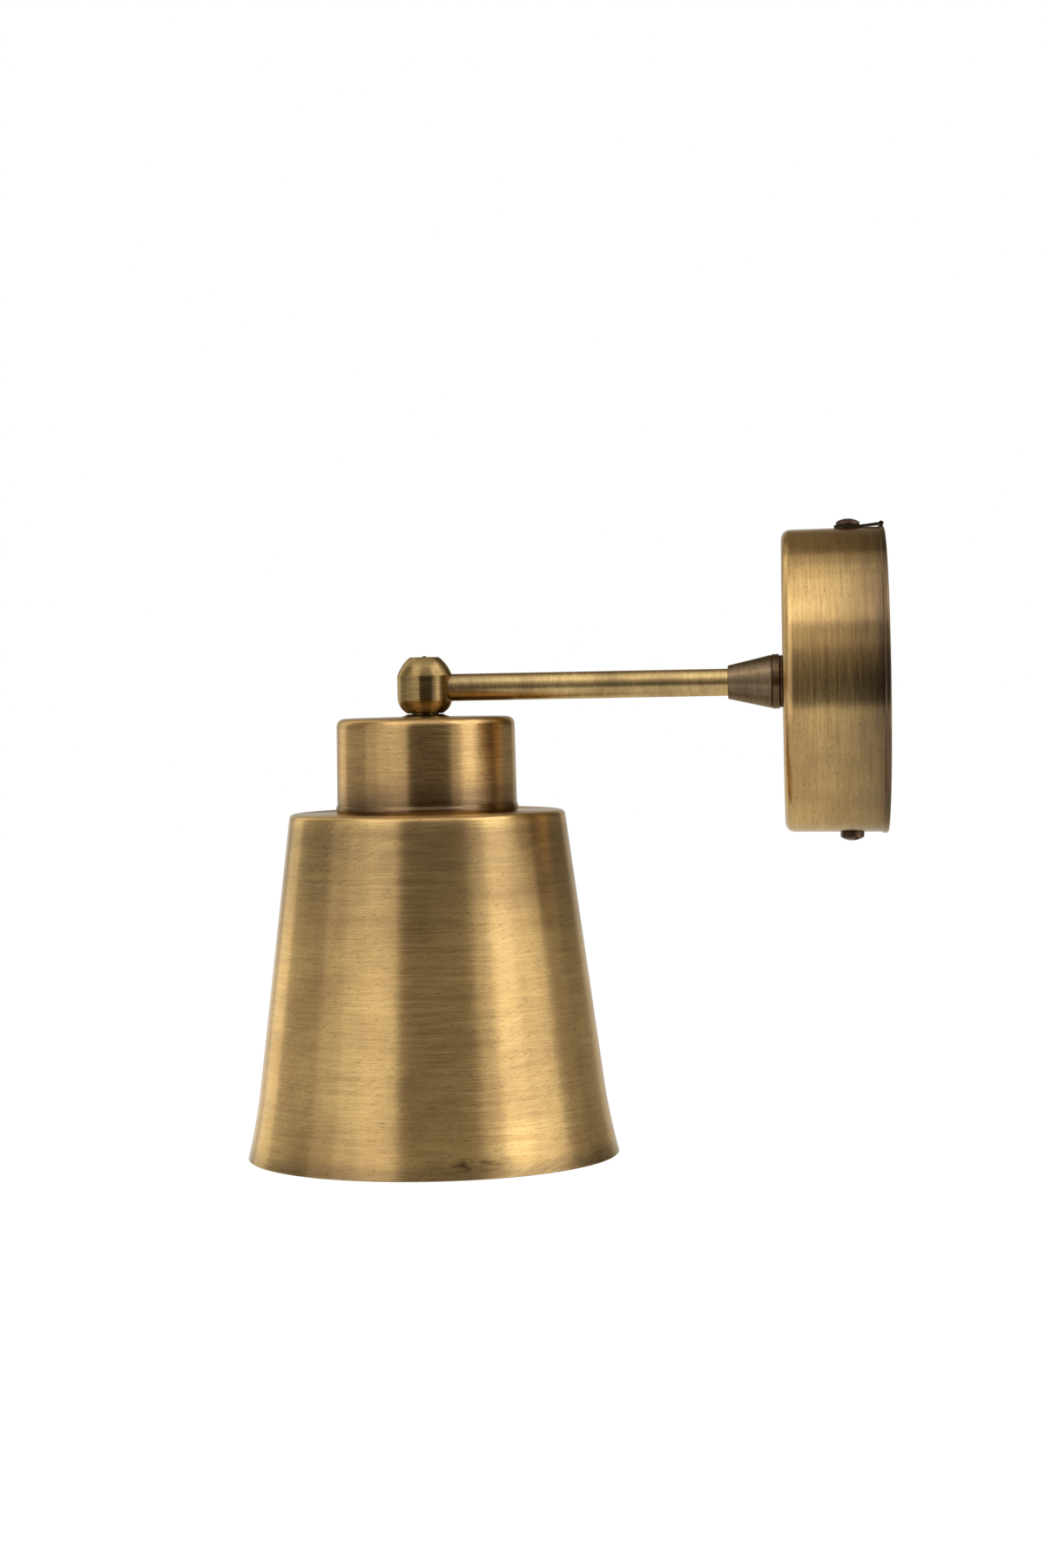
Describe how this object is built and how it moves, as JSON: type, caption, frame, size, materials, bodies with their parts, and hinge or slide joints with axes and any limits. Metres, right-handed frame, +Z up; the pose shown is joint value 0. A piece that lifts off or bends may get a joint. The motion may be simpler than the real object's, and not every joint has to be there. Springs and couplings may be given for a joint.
{
  "type": "wall sconce",
  "caption": "Wall lamp of darkened brass: a round wall cup with a straight arm, a turned knuckle and, hanging under it, a drum cap and a flared conical shade around a screw lampholder.",
  "frame": {"origin": "on the wall plane, at the middle of the rose and of the two wall screw slots", "axes": "+X into the wall, the arm runs along -X; +Z up; +Y to the back as the picture sees it"},
  "size_m": [0.239, 0.138, 0.2325],
  "materials": {
    "spun_brass": "spun, brushed round and darkened to an antique brown, lacquered",
    "turned_brass": "turned, brushed round and darkened to an antique brown, lacquered",
    "browned_screw": "slotted brass screw, browned",
    "zinc_steel": "bright zinc plating",
    "bright_brass": "drawn and turned, bare",
    "tinned_copper": "tin plated, dull",
    "nylon": "moulded, natural",
    "phenolic": "moulded phenolic, black, half gloss",
    "porcelain": "pressed, glazed white",
    "cable_sheath": "extruded soft plastic, white",
    "core_brown": "extruded soft plastic",
    "core_blue": "extruded soft plastic",
    "core_green_yellow": "extruded soft plastic"
  },
  "bodies": {
    "wall_part": {"wall_bracket": "zinc_steel", "rose_cup": "spun_brass", "cover_screw_top": "browned_screw", "cover_screw_bottom": "browned_screw", "screw_strip": "turned_brass", "cover_washer": "browned_screw", "terminal_block": "nylon", "block_screw": "zinc_steel", "pole_tubes": "bright_brass", "pole_screws": "bright_brass", "earth_tag": "tinned_copper", "earth_screw": "zinc_steel", "lock_washer": "zinc_steel", "rose_locknut": "zinc_steel", "rose_nipple": "turned_brass", "cone_washer": "turned_brass", "arm_cone": "turned_brass", "arm_tube": "turned_brass", "arm_cable": "cable_sheath", "rose_live_core": "core_brown", "rose_neutral_core": "core_blue", "rose_earth_core": "core_green_yellow"},
    "knuckle_part": {"knuckle": "turned_brass", "knuckle_screws": "browned_screw", "knuckle_cable": "cable_sheath"},
    "head": {"neck_collar": "turned_brass", "head_nipple": "turned_brass", "cap_locknut": "zinc_steel", "shade_cap": "spun_brass", "shade": "spun_brass", "lampholder_dome": "phenolic", "neck_screw": "zinc_steel", "lampholder_body": "phenolic", "shade_ring": "phenolic", "socket_insert": "porcelain", "screw_shell": "bright_brass", "centre_contact": "bright_brass", "holder_terminals": "bright_brass", "holder_terminal_screws": "bright_brass", "head_cable": "cable_sheath", "head_live_core": "core_brown", "head_neutral_core": "core_blue", "head_earth_core": "core_green_yellow"}
  },
  "joints": [
    {"name": "head_roll", "type": "hinge", "parent": "wall_part", "child": "knuckle_part", "pos_m": [-0.17, 0, 0], "axis": [1, 0, 0], "range_deg": [-90, 90]},
    {"name": "head_swivel", "type": "hinge", "parent": "knuckle_part", "child": "head", "pos_m": [-0.17, 0, 0], "axis": [0, 0, 1], "range_deg": [-160, 160]}
  ]
}
